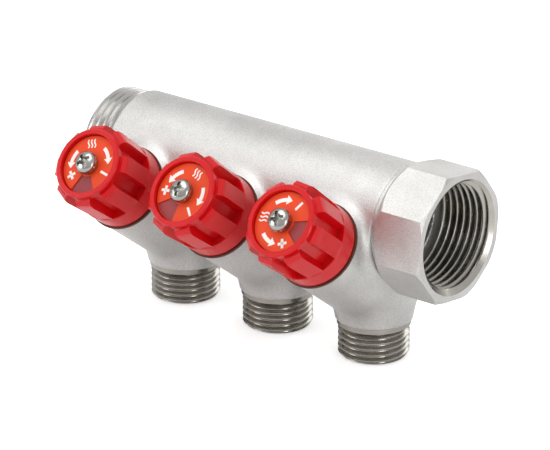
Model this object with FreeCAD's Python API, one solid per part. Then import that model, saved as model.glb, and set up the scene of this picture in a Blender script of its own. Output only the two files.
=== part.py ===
"""Three-outlet underfloor heating manifold bar with isolating hand valves.

Millimetres, +Z up.  The origin is the centre of the end face of the female
supply socket.  The bar runs from there towards -X, the outlets point down (-Z)
and the hand valves lean forward (-Y) and up.

Bar parts are drawn about +Z and turned on to X.  Valve parts are drawn about +Z
with height 0 where the valve axis crosses the outlet axis.
"""
import FreeCAD
import Part
import math
import os

Vec = FreeCAD.Vector
ORIGIN, X_AXIS, Z_AXIS = Vec(0, 0, 0), Vec(1, 0, 0), Vec(0, 0, 1)

# ---- threads: radii and pitch ----------------------------------------------
G1_R = 33.249 / 2
G1_MINOR_R = 15.1455
G1_PITCH = 2.309
G12_R = 20.955 / 2         # G1/2
G12_MINOR_R = 9.3155
G12_PITCH = 1.814
# ---- bar -------------------------------------------------------------------
BAR_LENGTH = 128.6         # socket face to spigot end
BAR_R = 17.45
BAR_BORE_R = 12.5
SOCKET_LENGTH = 17.0       # octagon
SOCKET_VERTEX_R = 20.1
SOCKET_CLOCK = 15.9        # vertex direction from +Z towards -Y, degrees
SOCKET_THREAD_DEPTH = 17.0
SOCKET_LEAD = 1.5          # depth of the countersink at the mouth
SOCKET_UNDERCUT = 1.2
SOCKET_TURNS = 6
SPIGOT_LENGTH = 10.8
SPIGOT_RELIEF = 1.5
SPIGOT_LEAD = 1.3          # end chamfer
# ---- outlets ---------------------------------------------------------------
OUTLET_PITCH = 36.0
NEAR_OUTLET_X = -31.4      # nearest the socket
OUTLET_XS = [NEAR_OUTLET_X - OUTLET_PITCH * steps for steps in (2, 1, 0)]
OUTLET_Y = 2.0
OUTLET_END_Z = -44.2
OUTLET_BORE_R = 6.75
OUTLET_BORE_LEAD = 0.8
STUB_R = 11.3
OUTLET_THREAD = 9.0
OUTLET_RELIEF = 0.8
OUTLET_LAND = 1.7          # machined land between the cast stub and the relief
OUTLET_LAND_R = 10.9
OUTLET_LEAD = 1.0          # end chamfer
# ---- valve axis and housing ------------------------------------------------
TILT = math.radians(37.0)  # above the horizontal, leaning to -Y
VALVE_Z = -22.6            # where the valve axis crosses the outlet axis
OUTLET_BORE_TOP = VALVE_Z - 1.4
HOUSING_R = 12.5
HOUSING_TOP = 33.2
SEAT = 6.0
PORT_R = 6.0
CHAMBER_R = 9.0
BONNET_BORE_R = 10.0
BONNET_BORE_BOTTOM = 24.0
# ---- valve parts -----------------------------------------------------------
RUN = 0.05                 # running clearance on radius
SPINDLE_R = 4.4
STEM_R = 3.5               # upper, thinner part of the spindle
HEX_AF = 18.0              # bonnet hexagon across flats
NECK_R = 9.0               # bonnet between its body and the hexagon
GLAND_TOP = 45.8
GLAND_BOTTOM = 39.6
GLAND_R = 5.45
ORING_R = 4.45             # centre of the section
ORING_SECTION_R = 0.88
PLUG_R = 8.2
PLUG_FACE = 8.05           # face the seat washer bears on
PLUG_TOP = 17.3
PLUG_GROOVE = (15.35, 16.25)   # heights of the retaining ring groove
SQUARE = 5.0               # side of the drive square on the spindle
SQUARE_PLAY = 0.1          # on the side of the handwheel's square hole
# ---- handwheel -------------------------------------------------------------
KNOB_BASE = 34.1
KNOB_SEAT = 46.4           # roof of the hollow, over the stem
KNOB_RIM = 54.4            # edge of the dial recess
KNOB_R = 12.5              # skirt
SKIRT_TOP = KNOB_BASE + 5.9
RIB_FOOT = KNOB_BASE + 5.2
RIB_TOP = KNOB_RIM - 1.5
RIB_FLAT = 12.7            # flat outer face of a rib
RIB_WIDTH = 5.0
RIB_COUNT = 8
RIB_CLOCK = 6.0            # first rib, from the middle of the dial's sector
CORE_FLAT = 9.9            # floor of the pocket between two ribs
RIM_R = 10.75
RECESS_R = 9.15
DISC_TOP = 53.0
DISC_R = RECESS_R - 0.08
DISC_TOP_R = RECESS_R - 0.28
SECTOR_HALF = 27           # half angle of the sunk sector
SECTOR_INNER_R = 3.6
SECTOR_DEPTH = 0.45
SCREW_TOP = 56.7
DIAL_CLOCKS = [-81.0, -118.0, -10.0]   # sector direction from local +X, counter-clockwise


# ------------------------------------------------------------- helpers ------
def cyl(radius, low, high):
    return Part.makeCylinder(radius, high - low, Vec(0, 0, low), Z_AXIS)


def ring(outer, inner, low, high):
    return cyl(outer, low, high).cut(cyl(inner, low - 1, high + 1))


def mid_box(length, width, low, height):
    """Box centred on the Z axis."""
    return Part.makeBox(length, width, height, Vec(-length / 2, -width / 2, low))


def polygon(points):
    return Part.Face(Part.makePolygon(points + [points[0]]))


def lathe(points):
    """Solid of revolution about +Z, from (radius, height) corners."""
    return polygon([Vec(r, 0, z) for r, z in points]).revolve(ORIGIN, Z_AXIS, 360)


def polar(radius, degrees, z):
    angle = math.radians(degrees)
    return Vec(radius * math.cos(angle), radius * math.sin(angle), z)


def prism(sides, vertex_r, low, high, clock=0.0):
    corners = [polar(vertex_r, clock + 360.0 * i / sides, low) for i in range(sides)]
    return polygon(corners).extrude(Vec(0, 0, high - low))


def thread_grooves(solid, major, minor, pitch, first, count, internal=False):
    """Cut V grooves at the thread's pitch and depth, one ring per turn, about +Z."""
    half_mouth = 0.40 * pitch
    half_root = 0.06 * pitch
    over = 0.3             # how far the cutter starts clear of the surface
    if internal:
        mouth_r, root_r = minor - over, major
    else:
        mouth_r, root_r = major + over, minor
    half = half_mouth + over * (half_mouth - half_root) / (major - minor)
    for i in range(count):
        z = first + i * pitch
        solid = solid.cut(lathe([(mouth_r, z - half), (root_r, z - half_root),
                                 (root_r, z + half_root), (mouth_r, z + half)]))
    return solid


def on_bar(shape):
    """Turn a shape drawn about +Z on to the bar axis, +Z becoming +X."""
    turned = shape.copy()
    turn = FreeCAD.Placement(ORIGIN, FreeCAD.Rotation(Z_AXIS, X_AXIS))
    turned.Placement = turn.multiply(turned.Placement)
    return turned


def on_outlet(shape, x):
    """Move a shape drawn about +Z at its true height on to the outlet at x."""
    moved = shape.copy()
    moved.translate(Vec(x, OUTLET_Y, 0))
    return moved


def on_valve(shape, x):
    """Place a shape drawn about +Z on the valve axis of the outlet at x.

    Local +X stays along the bar and local +Y ends up pointing up and to the back.
    """
    sin, cos = math.sin(TILT), math.cos(TILT)
    matrix = FreeCAD.Matrix(1, 0, 0, x,
                            0, sin, -cos, OUTLET_Y,
                            0, cos, sin, VALVE_Z,
                            0, 0, 0, 1)
    placed = shape.copy()
    placed.Placement = FreeCAD.Placement(matrix).multiply(placed.Placement)
    return placed


# ---------------------------------------------------------------- body ------
def outlet_outside():
    """Stub, land, relief and threaded end, about the outlet axis."""
    end = OUTLET_END_Z
    thread_top = end + OUTLET_THREAD
    relief = thread_top + OUTLET_RELIEF
    land = relief + OUTLET_LAND
    relief_r = G12_MINOR_R - 0.1
    blank = lathe([
        (0, VALVE_Z), (STUB_R, VALVE_Z), (STUB_R, land + 0.3), (STUB_R - 0.3, land),
        (OUTLET_LAND_R, land), (OUTLET_LAND_R, relief),
        (relief_r, relief), (relief_r, thread_top),
        (G12_MINOR_R + 0.1, thread_top), (G12_R, thread_top - 0.9),
        (G12_R, end + OUTLET_LEAD), (G12_R - OUTLET_LEAD, end), (0, end)])
    return thread_grooves(blank, G12_R, G12_MINOR_R, G12_PITCH,
                          first=end + OUTLET_LEAD + G12_PITCH / 2, count=4)


def bar_with_spigot():
    end = -BAR_LENGTH
    shoulder = end + SPIGOT_LENGTH
    thread_top = shoulder - SPIGOT_RELIEF
    relief_r = G1_MINOR_R - 0.15
    bar = lathe([
        (0, -10), (BAR_R, -10), (BAR_R, shoulder + 0.6), (BAR_R - 0.6, shoulder),
        (relief_r, shoulder), (relief_r, thread_top),
        (G1_MINOR_R + 0.2, thread_top), (G1_R, thread_top - 1.1),
        (G1_R, end + SPIGOT_LEAD), (G1_R - SPIGOT_LEAD, end), (0, end)])
    return thread_grooves(bar, G1_R, G1_MINOR_R, G1_PITCH,
                          first=end + SPIGOT_LEAD + G1_PITCH / 2, count=3)


def socket_octagon():
    """Octagon with its corners chamfered at both ends."""
    back = -SOCKET_LENGTH
    outer_r = SOCKET_VERTEX_R + 0.1
    octagon = prism(8, SOCKET_VERTEX_R, back, 0)
    envelope = lathe([
        (0, back - 1), (BAR_R + 0.4, back - 1), (BAR_R + 0.4, back), (outer_r, back + 2.7),
        (outer_r, -0.9), (SOCKET_VERTEX_R - 1.15, 0), (0, 0)])
    octagon = octagon.common(envelope)
    octagon.rotate(ORIGIN, Z_AXIS, SOCKET_CLOCK)
    return octagon


def bar_and_ends():
    """Bar, threaded spigot and octagonal socket with the bore, about +Z."""
    end = -BAR_LENGTH
    depth = -SOCKET_THREAD_DEPTH
    undercut = depth - SOCKET_UNDERCUT
    bore = lathe([
        (0, 1), (G1_R + 1.35, 1), (G1_R + 0.35, 0),
        (G1_MINOR_R, -SOCKET_LEAD), (G1_MINOR_R, depth),
        (G1_R + 0.1, depth), (G1_R + 0.1, undercut),
        (BAR_BORE_R, undercut), (BAR_BORE_R, end + 0.8),
        (BAR_BORE_R + 0.8, end), (BAR_BORE_R + 0.8, end - 1), (0, end - 1)])
    whole = bar_with_spigot().fuse(socket_octagon()).cut(bore)
    first = -SOCKET_LEAD - (SOCKET_TURNS - 0.5) * G1_PITCH
    return thread_grooves(whole, G1_R, G1_MINOR_R, G1_PITCH, first=first,
                          count=SOCKET_TURNS, internal=True)


def valve_bore():
    """Port, valve chamber and bonnet bore, about the valve axis."""
    top = HOUSING_TOP + 1
    return lathe([
        (0, -2), (PORT_R, -2), (PORT_R, SEAT), (CHAMBER_R, SEAT),
        (CHAMBER_R, BONNET_BORE_BOTTOM), (BONNET_BORE_R, BONNET_BORE_BOTTOM),
        (BONNET_BORE_R, top), (0, top)])


def outlet_bore():
    """Bore up to the valve, with a chamfered mouth."""
    end = OUTLET_END_Z
    mouth_r = OUTLET_BORE_R + OUTLET_BORE_LEAD
    return lathe([
        (0, end - 1), (mouth_r, end - 1), (mouth_r, end),
        (OUTLET_BORE_R, end + OUTLET_BORE_LEAD),
        (OUTLET_BORE_R, OUTLET_BORE_TOP), (0, OUTLET_BORE_TOP)])


def manifold_body():
    outside = [on_bar(bar_and_ends())]
    for x in OUTLET_XS:
        outside.append(on_valve(cyl(HOUSING_R, 0, HOUSING_TOP), x))
        outside.append(Part.makeSphere(HOUSING_R, Vec(x, OUTLET_Y, VALVE_Z)))
        outside.append(on_outlet(outlet_outside(), x))
    solid = outside[0].multiFuse(outside[1:])

    # clear the housings and stubs out of the bar's bore
    cuts = [on_bar(cyl(BAR_BORE_R, -BAR_LENGTH + 2, -SOCKET_THREAD_DEPTH - 1.5))]
    for x in OUTLET_XS:
        cuts.append(on_valve(valve_bore(), x))
        cuts.append(on_outlet(outlet_bore(), x))
        # rounded top of the outlet bore
        cuts.append(Part.makeSphere(OUTLET_BORE_R, Vec(x, OUTLET_Y, OUTLET_BORE_TOP)))
    for cutter in cuts:
        solid = solid.cut(cutter)
    return solid


# --------------------------------------------------------------- valve ------
def bonnet():
    """Sleeve that holds the spindle and gland, with a chamfered hexagon."""
    fit_r = BONNET_BORE_R - 0.03
    bottom = BONNET_BORE_BOTTOM + 0.3
    sleeve = lathe([
        (SPINDLE_R + RUN, bottom), (NECK_R, bottom), (fit_r, bottom + 1), (fit_r, HOUSING_TOP),
        (NECK_R, HOUSING_TOP), (NECK_R, 36.8), (6.8, 36.8),
        (6.8, GLAND_TOP - 0.5), (6.3, GLAND_TOP), (GLAND_R, GLAND_TOP), (GLAND_R, GLAND_BOTTOM),
        (STEM_R + RUN, GLAND_BOTTOM), (STEM_R + RUN, 38.7), (SPINDLE_R + RUN, 38.7)])
    low, high = HOUSING_TOP + 0.71, 37.3
    flat_r = HEX_AF / 2
    hexagon = prism(6, HEX_AF / math.sqrt(3.0), low, high)
    chamfer = lathe([(0, low), (flat_r + 0.9, low), (12, low + 0.9),
                     (12, high - 1.2), (flat_r + 0.2, high), (0, high)])
    hexagon = hexagon.common(chamfer).cut(cyl(6.0, 30, 40))
    return sleeve.fuse(hexagon).removeSplitter()


def gland_oring(height):
    return Part.makeTorus(ORING_R, ORING_SECTION_R, Vec(0, 0, height), Z_AXIS)


def gland_bush():
    low, high = 43.4, GLAND_TOP - 0.2
    outer = GLAND_R - 0.03
    return lathe([(STEM_R + RUN, low), (outer, low), (outer, high), (STEM_R + RUN, high)])


def spindle():
    """Spindle with a waisted foot, a drive square and a screw hole in its top."""
    top = KNOB_SEAT - 0.01
    shaft = lathe([
        (0, 13.3), (3.4, 13.3), (3.4, 15.3), (2.5, 15.3), (2.5, 17.6), (3.6, 17.9),
        (SPINDLE_R, 18.7), (SPINDLE_R, 31.8), (STEM_R, 32.4), (STEM_R, top), (0, top)])
    square = mid_box(SQUARE, SQUARE, 46.2, 5.1).common(cyl(3.3, 46, 53))
    return shaft.fuse(square).cut(cyl(2.0, 43.5, 53)).removeSplitter()


def valve_plug():
    """Plug with a lip round the seat washer and a socket for the spindle's foot."""
    washer_r, neck_r, socket_r, groove_r = 7.52, 5.2, 3.5, 4.1
    groove_low, groove_high = PLUG_GROOVE
    blank = lathe([
        (0, PLUG_FACE), (washer_r, PLUG_FACE), (washer_r, 6.9), (PLUG_R, 6.9),
        (PLUG_R, 12.4), (PLUG_R - 0.6, 13.0), (neck_r, 13.0), (neck_r, PLUG_TOP),
        (socket_r, PLUG_TOP), (socket_r, groove_high), (groove_r, groove_high),
        (groove_r, groove_low), (socket_r, groove_low), (socket_r, 13.2), (0, 13.2)])
    return blank.cut(cyl(1.5, 7, 12.0))


def washer_screw():
    """Slotted screw, head down, under the seat washer."""
    screw = lathe([(0, 4.3), (3.0, 4.3), (3.6, 4.9), (3.6, 6.05),
                   (1.46, 6.05), (1.46, 11.6), (0, 11.6)])
    return screw.cut(mid_box(8, 1.0, 4.0, 1.0))


def retaining_ring():
    """Ring in the plug's groove, with a gap on its -Y side."""
    low, high = PLUG_GROOVE
    gap = 4.4
    closed = ring(4.05, 2.6, low + 0.07, high - 0.07)
    return closed.cut(Part.makeBox(gap, 6, 2, Vec(-gap / 2, -6, 15)))


# ----------------------------------------------------------- handwheel ------
def handwheel_ribs():
    """Flat-faced ribs, each drawn on local +X and turned to its place."""
    half = RIB_WIDTH / 2
    profile = [  # (radius, height)
        (8.0, RIB_FOOT - 1), (KNOB_R - 0.7, RIB_FOOT - 1), (RIB_FLAT - 0.45, RIB_FOOT),
        (RIB_FLAT, RIB_TOP - 2.6), (RIB_FLAT - 0.25, RIB_TOP - 0.9),
        (RIB_FLAT - 1.3, RIB_TOP), (8.0, RIB_TOP)]
    rib = polygon([Vec(r, -half, z) for r, z in profile]).extrude(Vec(0, 2 * half, 0))
    ribs = []
    for i in range(RIB_COUNT):
        turned = rib.copy()
        turned.rotate(ORIGIN, Z_AXIS, RIB_CLOCK + 360.0 * i / RIB_COUNT)
        ribs.append(turned)
    return ribs


def handwheel():
    """Hollow cap: smooth skirt, ribs, flat-floored pockets and a round outer rim."""
    skirt = lathe([
        (0, KNOB_BASE), (KNOB_R - 0.3, KNOB_BASE), (KNOB_R, KNOB_BASE + 0.3),
        (KNOB_R, SKIRT_TOP - 0.2), (KNOB_R - 0.2, SKIRT_TOP), (0, SKIRT_TOP)])
    core = prism(RIB_COUNT, CORE_FLAT / math.cos(math.pi / RIB_COUNT),
                 SKIRT_TOP - 1, RIB_TOP, RIB_CLOCK)
    rim = lathe([
        (0, RIB_TOP - 1.0), (CORE_FLAT, RIB_TOP - 1.0), (RIM_R, RIB_TOP - 0.2),
        (RIM_R, KNOB_RIM - 0.35), (RIM_R - 0.35, KNOB_RIM), (0, KNOB_RIM)])
    wheel = skirt.fuse([core, rim]).fuse(handwheel_ribs())
    hollow = lathe([(0, KNOB_BASE - 1), (11.2, KNOB_BASE - 1), (11.2, 37.5),
                    (7.6, 38.0), (7.6, KNOB_SEAT), (0, KNOB_SEAT)])
    recess = cyl(RECESS_R, DISC_TOP - 0.9, KNOB_RIM + 1)
    hole_side = SQUARE + SQUARE_PLAY
    square_hole = mid_box(hole_side, hole_side, 46.0, 5.5)
    screw_hole = cyl(2.25, 46, 54)
    for cutter in (hollow, recess, square_hole, screw_hole):
        wheel = wheel.cut(cutter)
    return wheel.removeSplitter()


def dial_disc():
    """Disc with a sunk sector, centred on local +X, that runs out to the rim."""
    low, hole_r = DISC_TOP - 0.88, 2.25
    disc = lathe([(hole_r, low), (DISC_R, low), (DISC_R, DISC_TOP - 0.2),
                  (DISC_TOP_R, DISC_TOP), (hole_r, DISC_TOP)])
    floor = DISC_TOP - SECTOR_DEPTH
    angles = range(-SECTOR_HALF, SECTOR_HALF + 1, 3)
    outline = [polar(SECTOR_INNER_R, angle, floor) for angle in angles]
    outline += [polar(DISC_TOP_R, angle, floor) for angle in reversed(angles)]
    return disc.cut(polygon(outline).extrude(Vec(0, 0, 2)))


def handle_screw():
    """Domed screw with a cross slot and a conical centre."""
    head = DISC_TOP + 1.11
    screw = lathe([
        (0, 44.2), (1.3, 44.2), (1.95, 44.9), (1.95, head), (3.3, head), (3.5, head + 0.35),
        (3.45, head + 0.95), (3.15, head + 1.6), (2.55, head + 2.1), (1.6, head + 2.45),
        (0, SCREW_TOP)])
    for angle in (35, 125):
        slot = mid_box(4.4, 0.95, SCREW_TOP - 1.6, 2.4)
        slot.rotate(ORIGIN, Z_AXIS, angle)
        screw = screw.cut(slot)
    depth = 1.7
    return screw.cut(Part.makeCone(0.3, 1.25, depth, Vec(0, 0, SCREW_TOP - depth), Z_AXIS))


# -------------------------------------------------------------- output ------
def save(name, shape):
    # a boolean may wrap its single solid in a compound
    solid = shape.Solids[0] if len(shape.Solids) == 1 else shape
    solid.exportStep("parts/%s.step" % name)


def main():
    os.makedirs("parts", exist_ok=True)
    save("manifold_body", manifold_body())
    fixed = {
        "bonnet": bonnet(),
        "bonnet_gasket": ring(12.9, NECK_R + 0.05, HOUSING_TOP + 0.01, HOUSING_TOP + 0.7),
        "gland_oring_lower": gland_oring(40.52),
        "gland_oring_upper": gland_oring(42.4),
        "gland_bush": gland_bush(),
        "valve_plug": valve_plug(),
        "seat_washer": ring(7.5, 1.6, SEAT + 0.07, PLUG_FACE - 0.02),
        "washer_screw": washer_screw(),
        "retaining_ring": retaining_ring(),
    }
    turning = {
        "spindle": spindle(),
        "handwheel": handwheel(),
        "dial_disc": dial_disc(),
        "handle_washer": ring(3.2, 2.15, DISC_TOP + 0.01, DISC_TOP + 1.1),
        "handle_screw": handle_screw(),
    }
    for number, (x, clock) in enumerate(zip(OUTLET_XS, DIAL_CLOCKS), 1):
        for name, shape in fixed.items():
            save("%s_%d" % (name, number), on_valve(shape, x))
        for name, shape in turning.items():
            turned = shape.copy()
            turned.rotate(ORIGIN, Z_AXIS, clock)
            save("%s_%d" % (name, number), on_valve(turned, x))


main()
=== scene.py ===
"""Three-outlet valve manifold, nickel-plated, with red handwheels.

The bar lies along X: its octagonal female socket opens at x = 0 and its male spigot ends at
x = -128.6 mm. Three outlets point down (-Z). Above each one a valve leans out towards -Y,
37 degrees above the horizontal, and carries a handwheel with a printed dial.
"""
import math
from collections import namedtuple

import bpy
import bmesh
import numpy as np
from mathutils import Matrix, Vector


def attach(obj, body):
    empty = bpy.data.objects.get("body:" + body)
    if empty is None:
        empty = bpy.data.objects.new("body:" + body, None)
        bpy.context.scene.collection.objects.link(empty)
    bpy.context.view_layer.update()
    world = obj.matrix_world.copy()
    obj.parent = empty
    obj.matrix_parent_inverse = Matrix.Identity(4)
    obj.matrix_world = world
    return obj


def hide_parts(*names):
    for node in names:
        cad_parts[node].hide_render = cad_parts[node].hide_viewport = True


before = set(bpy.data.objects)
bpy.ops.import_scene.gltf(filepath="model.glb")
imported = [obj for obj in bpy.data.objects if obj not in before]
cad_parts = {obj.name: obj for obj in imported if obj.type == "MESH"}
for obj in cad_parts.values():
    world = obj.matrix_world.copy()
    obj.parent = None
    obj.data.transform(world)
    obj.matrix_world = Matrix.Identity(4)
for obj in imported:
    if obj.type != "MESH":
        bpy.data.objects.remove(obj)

bpy.context.view_layer.update()
MM = 0.001
scene = bpy.context.scene

# Dimensions in millimetres
Thread = namedtuple("Thread", "major minor pitch segments")      # major and minor are radii
G_ONE = Thread(major=16.6245, minor=15.1455, pitch=2.309, segments=168)
G_HALF = Thread(major=10.4775, minor=9.3155, pitch=1.814, segments=132)

BAR_LENGTH, BAR_R, BAR_BORE_R = 128.6, 17.45, 12.5
SOCKET_LENGTH, SOCKET_VERTEX_R = 17.0, 20.1
SOCKET_CLOCK = math.radians(15.9)
SOCKET_OVERLAP = 1.2            # bar and socket thread run on past the socket's inner end
SOCKET_MOUTH_R = G_ONE.major + 0.35
SPIGOT_LENGTH, SPIGOT_RELIEF = 10.8, 1.5
SHOULDER_X = -BAR_LENGTH + SPIGOT_LENGTH

OUTLET_XS = (-103.4, -67.4, -31.4)
OUTLET_Y, OUTLET_END_Z = 2.0, -44.2
OUTLET_BORE_R, STUB_R = 6.75, 11.3
OUTLET_THREAD, OUTLET_RELIEF = 9.0, 0.8
OUTLET_LAND, OUTLET_LAND_R, LAND_CHAMFER = 1.7, 10.9, 0.12
OUTLET_BORE_DROP = 1.4          # round top of the outlet bore, below the valve origin
RELIEF_BOTTOM = OUTLET_END_Z + OUTLET_THREAD
RELIEF_TOP = RELIEF_BOTTOM + OUTLET_RELIEF
STUB_END = RELIEF_TOP + OUTLET_LAND
BORE_CHAMFER = 0.8

VALVE_TILT, VALVE_Z = math.radians(37.0), -22.6
VALVE_ORIGIN = (0, OUTLET_Y, VALVE_Z)
VALVE_AXIS = np.array([0.0, -math.cos(VALVE_TILT), math.sin(VALVE_TILT)])
VALVE_UP = np.array([0, math.sin(VALVE_TILT), math.cos(VALVE_TILT)])
HOUSING_R, HOUSING_TOP = 12.5, 33.2
# Bores along the valve axis: radius, start, end
VALVE_BORES = ((6.0, -2, 6.5), (9.0, 6.0, 25.0), (10.0, 24.0, 60.0))

DISC_TOP = 53.0                 # along the valve axis
DIAL_CLOCKS = (-81.0, -118.0, -10.0)                             # degrees, one per valve
PRINT_BOTTOM, PRINT_TOP = DISC_TOP - 0.02, DISC_TOP + 0.05
SECTOR_HALF_ANGLE, SECTOR_DEPTH = 27.0, 0.45


# ------------------------------------------------------------ mesh helpers --
def add_piece(name, mesh, material, body, slot, sharp_angle, weld=0.0, fix_normals=False,
              replaced=None):
    """Object from (vertices in mm, faces), parented to its body's empty."""
    verts, faces = mesh
    data = bpy.data.meshes.new(name)
    data.from_pydata([tuple(point) for point in np.asarray(verts, float) * MM], [],
                     [tuple(int(i) for i in face) for face in faces])
    if weld or fix_normals:
        bm = bmesh.new()
        bm.from_mesh(data)
        if weld:
            bmesh.ops.remove_doubles(bm, verts=bm.verts, dist=weld * MM)
            bmesh.ops.dissolve_degenerate(bm, dist=weld * MM * 0.5, edges=bm.edges)
        if fix_normals:
            bmesh.ops.recalc_face_normals(bm, faces=bm.faces)
        bm.to_mesh(data)
        bm.free()
    data.validate()
    data.shade_smooth()
    data.set_sharp_from_angle(angle=math.radians(sharp_angle))
    piece = bpy.data.objects.new(name, data)
    scene.collection.objects.link(piece)
    data.materials.append(material)
    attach(piece, body)
    if replaced:
        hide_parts(replaced)


def add_body_piece(name, mesh, material, **options):
    add_piece(name, mesh, material, "manifold", "cast_body", replaced="manifold_body", **options)


def grid_faces(rows, cols, flip=False):
    row = np.arange(rows - 1)[:, None]
    col = np.arange(cols - 1)[None, :]
    first = (row * cols + col).ravel()
    faces = np.stack([first, first + 1, first + cols + 1, first + cols], 1)
    return faces[:, ::-1] if flip else faces


def around_axis(radii, angles, heights):
    """Points about local Z; the three arrays broadcast to a grid."""
    radii, angles, heights = np.broadcast_arrays(radii, angles, heights)
    points = np.stack([radii * np.cos(angles), radii * np.sin(angles), heights], -1)
    return points.reshape(-1, 3)


def turned_surface(profile, segments, flip=False):
    """Surface of revolution through (radius, height) stations."""
    angles = np.linspace(0, 2 * math.pi, segments + 1)
    radii, heights = np.array(profile, float).T[:, :, None]
    return (around_axis(radii, angles, heights),
            grid_faces(len(profile), segments + 1, flip=flip))


def join(parts):
    verts, faces, base = [], [], 0
    for part_verts, part_faces in parts:
        verts.append(part_verts)
        faces.append(part_faces + base)
        base += len(part_verts)
    return np.concatenate(verts), np.concatenate(faces)


def lay_along_x(mesh):
    """Turn local Z into X and local X into -Z."""
    verts, faces = mesh
    return np.stack([verts[:, 2], verts[:, 1], -verts[:, 0]], 1), faces


# ------------------------------------------------------- cast body (field) --
def cylinder(point, base, axis, radius, start, end, rounding=0.0):
    """Signed distance to a capped cylinder that runs from start to end along its axis."""
    x, y, z = (value - origin for value, origin in zip(point, base))
    along = x * axis[0] + y * axis[1] + z * axis[2]
    radial = np.sqrt(np.maximum(x * x + y * y + z * z - along * along, 0))
    side = radial - (radius - rounding)
    cap = np.maximum(start + rounding - along, along - (end - rounding))
    outside = np.hypot(np.maximum(side, 0), np.maximum(cap, 0))
    return np.minimum(np.maximum(side, cap), 0) + outside - rounding


def smooth_min(a, b, blend):
    share = np.clip(0.5 + 0.5 * (b - a) / blend, 0, 1)
    return b * (1 - share) + a * share - blend * share * (1 - share)


def smooth_max(a, b, blend):
    return -smooth_min(-a, -b, blend)


def cast_field(points):
    """Signed distance (mm, roughly) of the cast and bored part of the body."""
    x, y, z = points[..., 0], points[..., 1], points[..., 2]
    outlets = np.array(OUTLET_XS)
    from_outlet = x - outlets[np.argmin(np.abs(x[..., None] - outlets), axis=-1)]
    in_bar, in_valve = (x, y, z), (from_outlet, y, z)
    bar_line = (0, 0, 0), (1, 0, 0)
    outlet_line = (0, OUTLET_Y, 0), (0, 0, 1)
    valve_line = VALVE_ORIGIN, VALVE_AXIS

    bar = cylinder(in_bar, *bar_line, BAR_R, SHOULDER_X, -SOCKET_LENGTH - SOCKET_OVERLAP,
                   rounding=0.35)
    housing = cylinder(in_valve, *valve_line, HOUSING_R, 0, HOUSING_TOP, rounding=0.45)
    off_axis = from_outlet ** 2 + (y - OUTLET_Y) ** 2
    ball = np.sqrt(off_axis + (z - VALVE_Z) ** 2) - HOUSING_R
    stub = cylinder(in_valve, *outlet_line, STUB_R, STUB_END, VALVE_Z, rounding=0.3)
    valve = smooth_min(np.minimum(housing, ball), stub, blend=4.0)
    solid = smooth_min(bar, valve, blend=5.0)

    # Bores; the bar and outlet bores run past the open ends
    cut = cylinder(in_bar, *bar_line, BAR_BORE_R, -200, 50)
    for radius, start, end in VALVE_BORES:
        cut = np.minimum(cut, cylinder(in_valve, *valve_line, radius, start, end))
    cut = np.minimum(cut, cylinder(in_valve, *outlet_line, OUTLET_BORE_R, -90,
                                   VALVE_Z - OUTLET_BORE_DROP))
    bore_top = np.sqrt(off_axis + (z - VALVE_Z + OUTLET_BORE_DROP) ** 2) - OUTLET_BORE_R
    return smooth_max(solid, -np.minimum(cut, bore_top), blend=0.25)


def surface_nets(low, high, step, field):
    """Quad mesh of the field's zero surface, one vertex per crossed cell."""
    size = [int(math.ceil((high[i] - low[i]) / step)) + 1 for i in range(3)]
    axes = [low[i] + step * np.arange(size[i]) for i in range(3)]
    values = np.empty(size, np.float32)
    slab = 16                                   # layers sampled at once, to limit memory
    for i in range(0, size[0], slab):
        grid = np.meshgrid(axes[0][i:i + slab], axes[1], axes[2], indexing="ij")
        values[i:i + slab] = field(np.stack(grid, -1))
    inside = values < 0
    corners = [inside[i:size[0] - 1 + i, j:size[1] - 1 + j, k:size[2] - 1 + k]
               for i in (0, 1) for j in (0, 1) for k in (0, 1)]
    crossed = np.logical_or.reduce(corners) & ~np.logical_and.reduce(corners)
    cells = np.argwhere(crossed)
    index = np.full(crossed.shape, -1, np.int64)
    index[crossed] = np.arange(len(cells))

    # Each vertex is the mean of the crossings on its cell's twelve edges
    total = np.zeros((len(cells), 3))
    count = np.zeros(len(cells))
    for axis in range(3):
        others = [other for other in range(3) if other != axis]
        for a in (0, 1):
            for b in (0, 1):
                offset = [0, 0, 0]
                offset[others[0]], offset[others[1]] = a, b
                start = cells + offset
                end = start.copy()
                end[:, axis] += 1
                v0, v1 = values[tuple(start.T)], values[tuple(end.T)]
                hit = (v0 < 0) != (v1 < 0)
                crossing = start.astype(float)
                crossing[:, axis] += np.where(hit, v0 / np.where(hit, v0 - v1, 1), 0)
                total[hit] += crossing[hit]
                count[hit] += 1
    verts = np.array(low) + step * total / count[:, None]

    # Each crossed grid edge gives a quad between the four cells around it
    quads = []
    for axis in range(3):
        u, v = (axis + 1) % 3, (axis + 2) % 3
        lower, upper = [slice(None)] * 3, [slice(None)] * 3
        lower[axis], upper[axis] = slice(0, size[axis] - 1), slice(1, size[axis])
        edges = np.argwhere(inside[tuple(lower)] != inside[tuple(upper)])
        edges = edges[(edges[:, u] > 0) & (edges[:, v] > 0)
                      & (edges[:, u] < size[u] - 1) & (edges[:, v] < size[v] - 1)]
        quad = []
        for du, dv in ((-1, -1), (0, -1), (0, 0), (-1, 0)):
            cell = edges.copy()
            cell[:, u] += du
            cell[:, v] += dv
            quad.append(index[tuple(cell.T)])
        quad = np.stack(quad, 1)
        outward = ~inside[tuple(edges.T)]
        quad[outward] = quad[outward][:, ::-1]
        quads.append(quad)
    return verts, np.concatenate(quads)


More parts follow.
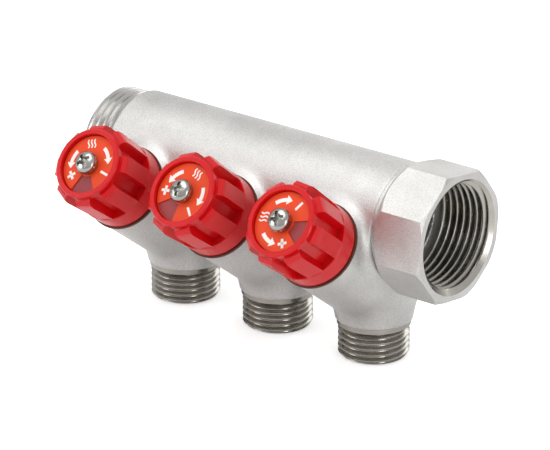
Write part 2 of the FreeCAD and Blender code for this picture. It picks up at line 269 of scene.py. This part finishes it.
def settle(verts, field, turns=3, limit=0.25, delta=0.02):
    """Newton steps, each at most limit long, that bring net vertices on to the surface."""
    for _ in range(turns):
        gradient = np.stack([(field(verts + d) - field(verts - d)) / (2 * delta)
                             for d in np.eye(3) * delta], 1)
        steepness = np.maximum((gradient ** 2).sum(1), 0.3)
        move = -(field(verts) / steepness)[:, None] * gradient
        length = np.linalg.norm(move, axis=1, keepdims=True)
        verts = verts + move * np.minimum(1, limit / np.maximum(length, 1e-9))
    return verts


# ------------------------------------------------------- threaded surfaces --
# Row positions over one pitch, as fractions of it
THREAD_ROWS = (0.0, 0.07, 0.16, 0.28, 0.385, 0.42, 0.5, 0.58, 0.615, 0.72, 0.84, 0.93)
# Distance from the groove centre (in pitches) and depth there: 0 on the crest, 1 in the root
GROOVE_DISTANCE = (0, 0.07, 0.385, 0.42, 0.5)
GROOVE_DEPTH = (1.0, 0.96, 0.07, 0.0, 0.0)


def helical_rows(start, end, pitch):
    turns = np.arange(math.floor(start / pitch) - 2, math.ceil(end / pitch) + 3)
    rows = np.unique(np.round((turns[:, None] + THREAD_ROWS) * pitch, 6))
    rows = rows[(rows > start - pitch - 0.01) & (rows < end + 0.01)]
    return np.unique(np.concatenate([[start - pitch], rows, [end]]))


def threaded_surface(thread, start, end, limits, inner=False):
    """Rows follow the helix, so crest edges stay crisp. Heights are clamped at the ends.

    limits holds (height, radius) stations: the smallest radius if inner, else the largest.
    """
    crest, root = (thread.minor, thread.major) if inner else (thread.major, thread.minor)
    angles = np.linspace(0, 2 * math.pi, thread.segments + 1)
    rows = helical_rows(start, end, thread.pitch)
    rise = thread.pitch * angles[None, :] / (2 * math.pi)
    heights = np.clip(rows[:, None] + rise, start, end)
    phase = (heights - rise) / thread.pitch
    distance = np.abs(((phase + 0.5) % 1.0) - 0.5)
    radii = crest + (root - crest) * np.interp(distance, GROOVE_DISTANCE, GROOVE_DEPTH)
    limit = np.interp(heights, *np.transpose(limits))
    radii = np.maximum(radii, limit) if inner else np.minimum(radii, limit)
    return (around_axis(radii, angles, heights),
            grid_faces(len(rows), thread.segments + 1, flip=True))


def male_thread(thread, start, relief, end, bore_radius, bore_end, chamfer, runout, lip,
                undercut):
    """Thread from start to a relief groove that ends at end; then the end face and bore."""
    open_radius, relief_radius = thread.major + 0.01, thread.minor - undercut
    limits = [(start, thread.major - chamfer), (start + chamfer, open_radius),
              (relief - runout, open_radius), (relief - 0.02, thread.minor + lip),
              (relief, relief_radius), (end, relief_radius)]
    end_profile = [(thread.major - chamfer, start), (bore_radius + BORE_CHAMFER, start),
                   (bore_radius, start + BORE_CHAMFER), (bore_radius, bore_end)]
    return (threaded_surface(thread, start, end, limits),
            turned_surface(end_profile, thread.segments))


# ---------------------------------------------------------------- materials --
NICKEL_TINT = (1.0, 0.985, 0.955)
WARM_TINT = (1.0, 0.955, 0.87)


def new_material(name):
    material = bpy.data.materials.new(name)
    material.use_nodes = True
    tree = material.node_tree
    return material, tree, tree.nodes["Principled BSDF"]


def link(tree, source, target):
    tree.links.new(source, target)


def set_inputs(node, values):
    for name, value in values.items():
        node.inputs[name].default_value = value


def noise(tree, scale, detail, roughness=0.55):
    coords = tree.nodes.new("ShaderNodeTexCoord")
    node = tree.nodes.new("ShaderNodeTexNoise")
    set_inputs(node, {"Scale": scale, "Detail": detail, "Roughness": roughness})
    link(tree, coords.outputs["Object"], node.inputs["Vector"])
    return node.outputs["Fac"]


def ramp(tree, source, *stops):
    """Colour ramp through (position, colour) stops."""
    node = tree.nodes.new("ShaderNodeValToRGB")
    elements = node.color_ramp.elements
    while len(elements) < len(stops):
        elements.new(0.5)
    for element, (position, colour) in zip(elements, stops):
        element.position = position
        element.color = colour
    link(tree, source, node.inputs["Fac"])
    return node.outputs["Color"]


def map_range(tree, source, old, new):
    node = tree.nodes.new("ShaderNodeMapRange")
    set_inputs(node, {"From Min": old[0], "From Max": old[1], "To Min": new[0], "To Max": new[1]})
    link(tree, source, node.inputs["Value"])
    return node.outputs["Result"]


def bump(tree, height, strength, distance, normal=None):
    node = tree.nodes.new("ShaderNodeBump")
    set_inputs(node, {"Strength": strength, "Distance": distance})
    link(tree, height, node.inputs["Height"])
    if normal:
        link(tree, normal, node.inputs["Normal"])
    return node.outputs["Normal"]


def tinted(value, tint=(1, 1, 1)):
    return tuple(value * channel for channel in tint) + (1,)


def color_socket(sockets, name):
    return next(s for s in sockets if s.name == name and s.type == "RGBA")


def cast_metal(name):
    """Grainy metal: broad tone times dark grains, with two layers of bump."""
    material, tree, shader = new_material(name)
    broad = noise(tree, scale=60, detail=3)
    fine = noise(tree, scale=3200, detail=2, roughness=0.6)
    medium = noise(tree, scale=1400, detail=2, roughness=0.6)
    tone = ramp(tree, broad, (0.3, tinted(0.65, (1.0, 0.982, 0.955))),
                (0.7, tinted(0.76, (1.0, 0.988, 0.965))))
    grains = ramp(tree, fine, (0.34, tinted(0.74)), (0.55, tinted(1.0)))
    multiply = tree.nodes.new("ShaderNodeMix")
    multiply.data_type = "RGBA"
    multiply.blend_type = "MULTIPLY"
    set_inputs(multiply, {"Factor": 1.0})
    link(tree, tone, color_socket(multiply.inputs, "A"))
    link(tree, grains, color_socket(multiply.inputs, "B"))
    link(tree, color_socket(multiply.outputs, "Result"), shader.inputs["Base Color"])
    set_inputs(shader, {"Metallic": 1.0})
    link(tree, map_range(tree, fine, old=(0.3, 0.7), new=(0.38, 0.52)),
         shader.inputs["Roughness"])
    normal = bump(tree, fine, strength=0.7, distance=0.00016)
    normal = bump(tree, medium, strength=0.35, distance=0.00018, normal=normal)
    link(tree, normal, shader.inputs["Normal"])
    return material


def toned_material(name, dark, light, tone_scale, tone_detail, roughness_from, roughness_to,
                   grain_scale, grain_strength, grain_distance, finish):
    """Broad noise drives colour and roughness, fine noise the bump; finish sets the rest."""
    material, tree, shader = new_material(name)
    broad = noise(tree, scale=tone_scale, detail=tone_detail)
    fine = noise(tree, scale=grain_scale, detail=2)
    link(tree, ramp(tree, broad, (0.3, dark), (0.7, light)), shader.inputs["Base Color"])
    set_inputs(shader, finish)
    link(tree, map_range(tree, broad, old=roughness_from, new=roughness_to),
         shader.inputs["Roughness"])
    normal = bump(tree, fine, strength=grain_strength, distance=grain_distance)
    link(tree, normal, shader.inputs["Normal"])
    return material


def turned_metal(name, value, roughness, tint=NICKEL_TINT):
    return toned_material(
        name, dark=tinted(value * 0.86, tint), light=tinted(value, tint),
        tone_scale=240.0, tone_detail=4.0,
        roughness_from=(0.25, 0.75), roughness_to=(roughness * 0.8, roughness * 1.25),
        grain_scale=2600, grain_strength=0.2, grain_distance=0.00005,
        finish={"Metallic": 1.0})


def plastic(name, colour, roughness, darken=0.9, coat=0.0, specular=0.5):
    return toned_material(
        name, dark=tinted(darken, colour), light=colour + (1,),
        tone_scale=90, tone_detail=3,
        roughness_from=(0.3, 0.7), roughness_to=(roughness * 0.85, roughness * 1.2),
        grain_scale=1800, grain_strength=0.12, grain_distance=0.00006,
        finish={"Specular IOR Level": specular, "Coat Weight": coat, "Coat Roughness": 0.12})


def even(name, colour, roughness, metallic=0.0):
    """One even finish, for the pieces shut inside the valve."""
    material, _, shader = new_material(name)
    set_inputs(shader, {"Base Color": colour + (1,), "Roughness": roughness,
                        "Metallic": metallic})
    return material


CAST = cast_metal("cast_nickel")
TURNED = turned_metal("turned_nickel", value=0.62, roughness=0.24)
# Darker, warmer copy of the turned nickel for the outlets under the bar: painted shade.
OUTLET_SHADED_METAL = turned_metal("turned_outlet_shaded", value=0.44, roughness=0.22, tint=WARM_TINT)
# Darker, warmer copy of the turned nickel for the thread inside the socket: painted shade in the
# bore.
BORE_SHADED_METAL = turned_metal("turned_bore_shaded", value=0.50, roughness=0.24, tint=WARM_TINT)
FLATS = cast_metal("flats_nickel")
ZINC = turned_metal("bright_zinc", value=0.46, roughness=0.20, tint=(1.0, 0.985, 0.93))
# Dark brown for the bonnet gasket: painted shadow in the gap between each handwheel and its
# housing.
SHADOW_GAP_RING = plastic("shadow_gap_ring", colour=(0.10, 0.026, 0.016), roughness=0.5)
RED = plastic("handwheel_red", colour=(0.62, 0.003, 0.006), roughness=0.22, specular=0.42)
DIAL = plastic("dial_red", colour=(0.80, 0.062, 0.010), roughness=0.45, specular=0.3)
SECTOR = plastic("dial_sector", colour=(0.33, 0.035, 0.040), roughness=0.5, coat=0.05)
WHITE = plastic("print_white", colour=(0.90, 0.86, 0.82), roughness=0.5, darken=0.94)
BRASS = even("inner_brass", colour=(0.60, 0.48, 0.27), roughness=0.28, metallic=1.0)
STEEL = even("inner_steel", colour=(0.52, 0.51, 0.48), roughness=0.25, metallic=1.0)
RUBBER = even("inner_rubber", colour=(0.03, 0.028, 0.027), roughness=0.6)


# -------------------------------------------------------------- body pieces --
def casting():
    step = 0.5
    verts, quads = surface_nets((-119.2, -33.5, -36.2), (-16.0, 19.5, 19.5), step, cast_field)
    return settle(verts, cast_field), quads


def socket_octagon():
    """Octagonal outside, chamfered at both ends, and the flat ring around the mouth."""
    inner_end = -SOCKET_LENGTH
    rows = np.unique(np.concatenate([
        [inner_end - 1.25, inner_end - 0.02], np.linspace(inner_end, inner_end + 2.8, 28),
        np.linspace(inner_end + 3.0, -1.2, 8), np.linspace(-1.1, 0, 14)]))
    side = math.pi / 4
    corners = (SOCKET_CLOCK + np.arange(8) * side) % (2 * math.pi)
    angles = np.concatenate([np.linspace(0, 2 * math.pi, 241), corners])
    angles = np.unique(np.round(angles, 9))
    flat_radius = SOCKET_VERTEX_R * math.cos(side / 2)
    octagon = flat_radius / np.cos((angles - SOCKET_CLOCK) % side - side / 2)
    # Largest radius along the socket: height, radius
    limits = [(inner_end - 2, BAR_R), (inner_end - 0.01, BAR_R), (inner_end, BAR_R + 0.4),
              (inner_end + 2.7, SOCKET_VERTEX_R + 0.1), (-0.9, SOCKET_VERTEX_R + 0.1),
              (0, SOCKET_VERTEX_R - 1.15)]
    limit = np.interp(rows, *np.transpose(limits))
    radii = np.minimum(octagon[None, :], limit[:, None])
    outside = around_axis(radii, angles, rows[:, None]), grid_faces(len(rows), len(angles))
    ring_radii = np.stack([radii[-1], np.full(len(angles), SOCKET_MOUTH_R)])
    ring = around_axis(ring_radii, angles, 0.0), grid_faces(2, len(angles))
    return lay_along_x(join([outside, ring]))


def socket_thread():
    start, clear_radius = -SOCKET_LENGTH - SOCKET_OVERLAP, G_ONE.major + 0.1
    limits = [(start, clear_radius), (-SOCKET_LENGTH - 0.05, clear_radius),
              (-SOCKET_LENGTH + 0.05, 0), (-1.6, G_ONE.minor - 0.05), (0, SOCKET_MOUTH_R)]
    return lay_along_x(threaded_surface(G_ONE, start, 0, limits, inner=True))


def spigot():
    return lay_along_x(join(male_thread(
        G_ONE, start=-BAR_LENGTH, relief=SHOULDER_X - SPIGOT_RELIEF, end=SHOULDER_X,
        bore_radius=BAR_BORE_R, bore_end=SHOULDER_X,
        chamfer=1.3, runout=1.1, lip=0.2, undercut=0.15)))


def outlet():
    """Thread, plain land above it, end face and bore, about local Z."""
    undercut = 0.1
    thread, end = male_thread(
        G_HALF, start=OUTLET_END_Z, relief=RELIEF_BOTTOM, end=RELIEF_TOP,
        bore_radius=OUTLET_BORE_R, bore_end=STUB_END,
        chamfer=1.0, runout=0.9, lip=0.1, undercut=undercut)
    land = turned_surface([(G_HALF.minor - undercut, RELIEF_TOP),
                           (OUTLET_LAND_R - LAND_CHAMFER, RELIEF_TOP),
                           (OUTLET_LAND_R, RELIEF_TOP + LAND_CHAMFER),
                           (OUTLET_LAND_R, STUB_END)], G_HALF.segments, flip=True)
    return join([thread, land, end])


add_body_piece("casting", casting(), CAST, sharp_angle=40.0)
add_body_piece("socket_octagon", socket_octagon(), FLATS, sharp_angle=22.0, weld=0.002)
# The socket thread takes the darker copy of the turned nickel, which is painted shade.
add_body_piece("socket_thread", socket_thread(), BORE_SHADED_METAL, sharp_angle=35.0, weld=0.002)
add_body_piece("spigot_thread", spigot(), TURNED, sharp_angle=35.0, weld=0.002,
               fix_normals=True)
outlet_verts, outlet_faces = outlet()
# The outlets take the darker copy of the turned nickel, which is painted shade.
for number, x in enumerate(OUTLET_XS, 1):
    placed = outlet_verts + np.array([x, OUTLET_Y, 0]), outlet_faces
    add_body_piece("outlet_thread_%d" % number, placed, OUTLET_SHADED_METAL, sharp_angle=35.0,
                   weld=0.002, fix_normals=True)


# ------------------------------------------------- dial prints and sectors --
def ribbon(points, width):
    """Thin raised stroke along a polyline in the dial plane; width may vary by point."""
    line = np.array(points, float)
    n = len(line)
    along = np.gradient(line, axis=0)
    along /= np.linalg.norm(along, axis=1, keepdims=True)
    across = np.stack([-along[:, 1], along[:, 0]], 1) * np.reshape(width, (-1, 1)) / 2
    verts = np.concatenate([np.column_stack([edge, np.full(n, z)])
                            for z in (PRINT_TOP, PRINT_BOTTOM)
                            for edge in (line + across, line - across)])
    faces = []
    for i in range(n - 1):
        faces.append((n + i, n + i + 1, i + 1, i))
        faces.append((i, i + 1, 2 * n + i + 1, 2 * n + i))
        faces.append((n + i + 1, n + i, 3 * n + i, 3 * n + i + 1))
    faces.append((0, 2 * n, 3 * n, n))
    faces.append((n - 1, 2 * n - 1, 4 * n - 1, 3 * n - 1))
    return verts, np.array(faces)


def glyph(radius, angle, width, strokes):
    """Strokes in a small frame at (radius, angle) whose y points away from the centre."""
    angle = math.radians(angle)
    up = np.array([math.cos(angle), math.sin(angle)])
    right = np.array([math.sin(angle), -math.cos(angle)])
    return [ribbon([radius * up + x * right + y * up for x, y in stroke], width)
            for stroke in strokes]


def arrow(start, end, radius=6.5):
    """Curved arrow about the dial centre; its 16 degree head follows the end angle."""
    def arc(angles, width):
        angles = np.radians(angles)
        return ribbon(radius * np.stack([np.cos(angles), np.sin(angles)], 1), width)

    turn = 1 if end > start else -1
    return [arc(np.linspace(start, end, 12), 1.15),
            arc([end, end + turn * 8, end + turn * 16], [2.8, 1.45, 0.06])]


def dial_print():
    plus = [[(-1.4, 0), (1.4, 0)], [(0, -1.4), (0, 1.4)]]
    radial_bar = [[(0, -1.45), (0, 1.45)]]
    waves = [[(x + 0.28 * math.sin(t * 2 * math.pi), -1.3 + 2.6 * t)
              for t in np.linspace(0, 1, 13)] for x in (-1.1, 0.0, 1.1)]
    return join(glyph(radius=6.45, angle=-55, width=0.8, strokes=plus)
                + glyph(radius=6.45, angle=-290, width=0.75, strokes=radial_bar)
                + arrow(start=-125, end=-92) + arrow(start=-215, end=-248)
                + glyph(radius=6.5, angle=-170, width=0.42, strokes=waves))


def sector_floor():
    """Tinted floor of the sunk sector, a little proud of the disc's own cut."""
    half_angle = SECTOR_HALF_ANGLE - 0.35
    angles = np.radians(np.linspace(-half_angle, half_angle, 19))
    radii = np.linspace(3.65, 8.83, 12)[:, None]
    floor_height = DISC_TOP - SECTOR_DEPTH
    return join([(around_axis(radii, angles, floor_height + lift), grid_faces(12, 19, flip))
                 for lift, flip in ((0.03, False), (-0.02, True))])


def on_valve(mesh, valve_x, clock):
    """Turn a dial mesh by clock degrees and set it on the valve axis at valve_x."""
    (x, y, z), faces = mesh[0].T[:, :, None], mesh[1]
    angle = math.radians(clock)
    across = x * math.cos(angle) - y * math.sin(angle)
    up = x * math.sin(angle) + y * math.cos(angle)
    origin = np.array([valve_x, OUTLET_Y, VALVE_Z])
    return origin + across * np.array([1.0, 0, 0]) + up * VALVE_UP + z * VALVE_AXIS, faces


print_mesh, sector_mesh = dial_print(), sector_floor()
for number, (x, clock) in enumerate(zip(OUTLET_XS, DIAL_CLOCKS), 1):
    wheel = "handwheel_set_%d" % number
    add_piece("dial_print_%d" % number, on_valve(print_mesh, x, clock), WHITE,
              wheel, "print_white", sharp_angle=30.0, fix_normals=True)
    add_piece("dial_sector_%d" % number, on_valve(sector_mesh, x, clock), SECTOR,
              wheel, "dial_red", sharp_angle=30.0, weld=0.001)

# --------------------------------------------------------------- CAD nodes --
# Kind of node: material, bevel width in mm (0 for none)
CAD_FINISH = {
    # The gasket's dark brown is painted shadow in the gap under the handwheel.
    "bonnet": (BRASS, 0.15), "bonnet_gasket": (SHADOW_GAP_RING, 0), "gland_bush": (BRASS, 0),
    "gland_oring_lower": (RUBBER, 0), "gland_oring_upper": (RUBBER, 0),
    "valve_plug": (BRASS, 0), "seat_washer": (RUBBER, 0), "washer_screw": (STEEL, 0),
    "spindle": (BRASS, 0), "retaining_ring": (STEEL, 0), "handwheel": (RED, 0.26),
    "dial_disc": (DIAL, 0.08), "handle_washer": (ZINC, 0.06), "handle_screw": (ZINC, 0.10)}


def soften_edges(node, width):
    weld = node.modifiers.new("weld", "WELD")
    weld.merge_threshold = 0.00001
    bevel = node.modifiers.new("bevel", "BEVEL")
    bevel.width = width * MM
    bevel.segments = 3
    bevel.limit_method = "ANGLE"
    bevel.angle_limit = math.radians(32)
    bevel.harden_normals = False
    normals = node.modifiers.new("normals", "WEIGHTED_NORMAL")
    normals.keep_sharp = False


for name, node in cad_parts.items():
    kind = name.rsplit("_", 1)[0]
    if kind not in CAD_FINISH:
        continue
    material, bevel_width = CAD_FINISH[kind]
    node.data.materials.clear()
    node.data.materials.append(material)
    if bevel_width:
        soften_edges(node, bevel_width)


# ------------------------------------------------------------ stage, lights --
def floor_material():
    """Pale floor, brighter to the camera and clear from below."""
    material, tree, shader = new_material("floor_pale")
    tone = ramp(tree, noise(tree, scale=3, detail=2), (0.3, tinted(0.90)), (0.7, tinted(0.93)))
    link(tree, tone, shader.inputs["Base Color"])
    set_inputs(shader, {"Roughness": 0.9, "Specular IOR Level": 0.1,
                        "Emission Color": (1, 1, 1, 1)})
    light_path = tree.nodes.new("ShaderNodeLightPath")
    glow = map_range(tree, light_path.outputs["Is Camera Ray"], old=(0, 1), new=(0.0, 0.5))
    link(tree, glow, shader.inputs["Emission Strength"])
    geometry = tree.nodes.new("ShaderNodeNewGeometry")
    clear = tree.nodes.new("ShaderNodeBsdfTransparent")
    mix = tree.nodes.new("ShaderNodeMixShader")
    link(tree, geometry.outputs["Backfacing"], mix.inputs["Fac"])
    link(tree, shader.outputs["BSDF"], mix.inputs[1])
    link(tree, clear.outputs["BSDF"], mix.inputs[2])
    link(tree, mix.outputs["Shader"], tree.nodes["Material Output"].inputs["Surface"])
    return material


def add_floor():
    half = 6.0                                  # metres
    z = OUTLET_END_Z * MM - 0.0002              # just below the outlet ends
    data = bpy.data.meshes.new("floor")
    data.from_pydata([(-half, -half, z), (half, -half, z), (half, half, z), (-half, half, z)],
                     [], [(0, 1, 2, 3)])
    floor = bpy.data.objects.new("floor", data)
    scene.collection.objects.link(floor)
    data.materials.append(floor_material())


def build_world():
    """White to the camera; a grey gradient, brighter upwards, lights the object."""
    scene.world = bpy.data.worlds.new("studio")
    scene.world.use_nodes = True
    tree = scene.world.node_tree
    tree.nodes.clear()
    output = tree.nodes.new("ShaderNodeOutputWorld")
    mix = tree.nodes.new("ShaderNodeMixShader")
    seen = tree.nodes.new("ShaderNodeBackground")
    lighting = tree.nodes.new("ShaderNodeBackground")
    set_inputs(seen, {"Color": (1, 1, 1, 1), "Strength": 1.0})
    light_path = tree.nodes.new("ShaderNodeLightPath")
    coords = tree.nodes.new("ShaderNodeTexCoord")
    split = tree.nodes.new("ShaderNodeSeparateXYZ")
    link(tree, coords.outputs["Generated"], split.inputs["Vector"])
    height = map_range(tree, split.outputs["Z"], old=(-1, 1), new=(0, 1))
    gradient = ramp(tree, height, (0.0, tinted(0.30)), (0.46, tinted(0.38)),
                    (0.60, tinted(0.95)), (1.0, tinted(1)))
    link(tree, gradient, lighting.inputs["Color"])
    set_inputs(lighting, {"Strength": 0.72})
    link(tree, light_path.outputs["Is Camera Ray"], mix.inputs["Fac"])
    link(tree, lighting.outputs["Background"], mix.inputs[1])
    link(tree, seen.outputs["Background"], mix.inputs[2])
    link(tree, mix.outputs["Shader"], output.inputs["Surface"])


LIGHT_TARGET = Vector((-0.065, -0.005, -0.01))
# Area lights: name, place (m), width and height (m), power (W)
LIGHTS = (
    ("key_top", (-0.15, -0.15, 0.55), (0.55, 0.40), 1.4),
    ("front_left", (-0.55, -0.55, 0.18), (0.35, 0.45), 1.1),
    ("right_strip", (0.55, -0.25, 0.12), (0.18, 0.5), 1.0),
    ("back_low", (-0.1, 0.6, 0.30), (0.6, 0.3), 0.9))


def aim(item, direction):
    item.rotation_mode = "QUATERNION"
    item.rotation_quaternion = direction.to_track_quat("-Z", "Y")


def add_light(name, place, size, power):
    data = bpy.data.lights.new(name, "AREA")
    data.shape = "RECTANGLE"
    data.size, data.size_y = size
    data.energy = power
    light = bpy.data.objects.new(name, data)
    scene.collection.objects.link(light)
    light.location = place
    aim(light, LIGHT_TARGET - Vector(place))


def add_camera():
    """Camera that orbits the middle outlet's x, shifted in its own plane; lengths in mm."""
    azimuth, elevation = math.radians(39.139), math.radians(21.511)
    distance, shift_right, shift_up = 1011.4, 0.395, -11.976
    sin_az, cos_az = math.sin(azimuth), math.cos(azimuth)
    sin_el, cos_el = math.sin(elevation), math.cos(elevation)
    back = Vector((sin_az * cos_el, -cos_az * cos_el, sin_el))
    right = Vector((cos_az, sin_az, 0))
    up = Vector((-sin_az * sin_el, cos_az * sin_el, cos_el))
    data = bpy.data.cameras.new("camera")
    camera = bpy.data.objects.new("camera", data)
    scene.collection.objects.link(camera)
    camera.location = (back * distance + right * shift_right + up * shift_up
                       + Vector((OUTLET_XS[1], 0, 0))) * MM
    aim(camera, -back)
    data.sensor_width = 36.0
    data.lens = 226.0014545
    data.clip_start, data.clip_end = 0.05, 20.0
    scene.camera = camera


add_floor()
build_world()
for light in LIGHTS:
    add_light(*light)
add_camera()
scene.view_settings.view_transform = "Standard"

bpy.context.view_layer.update()
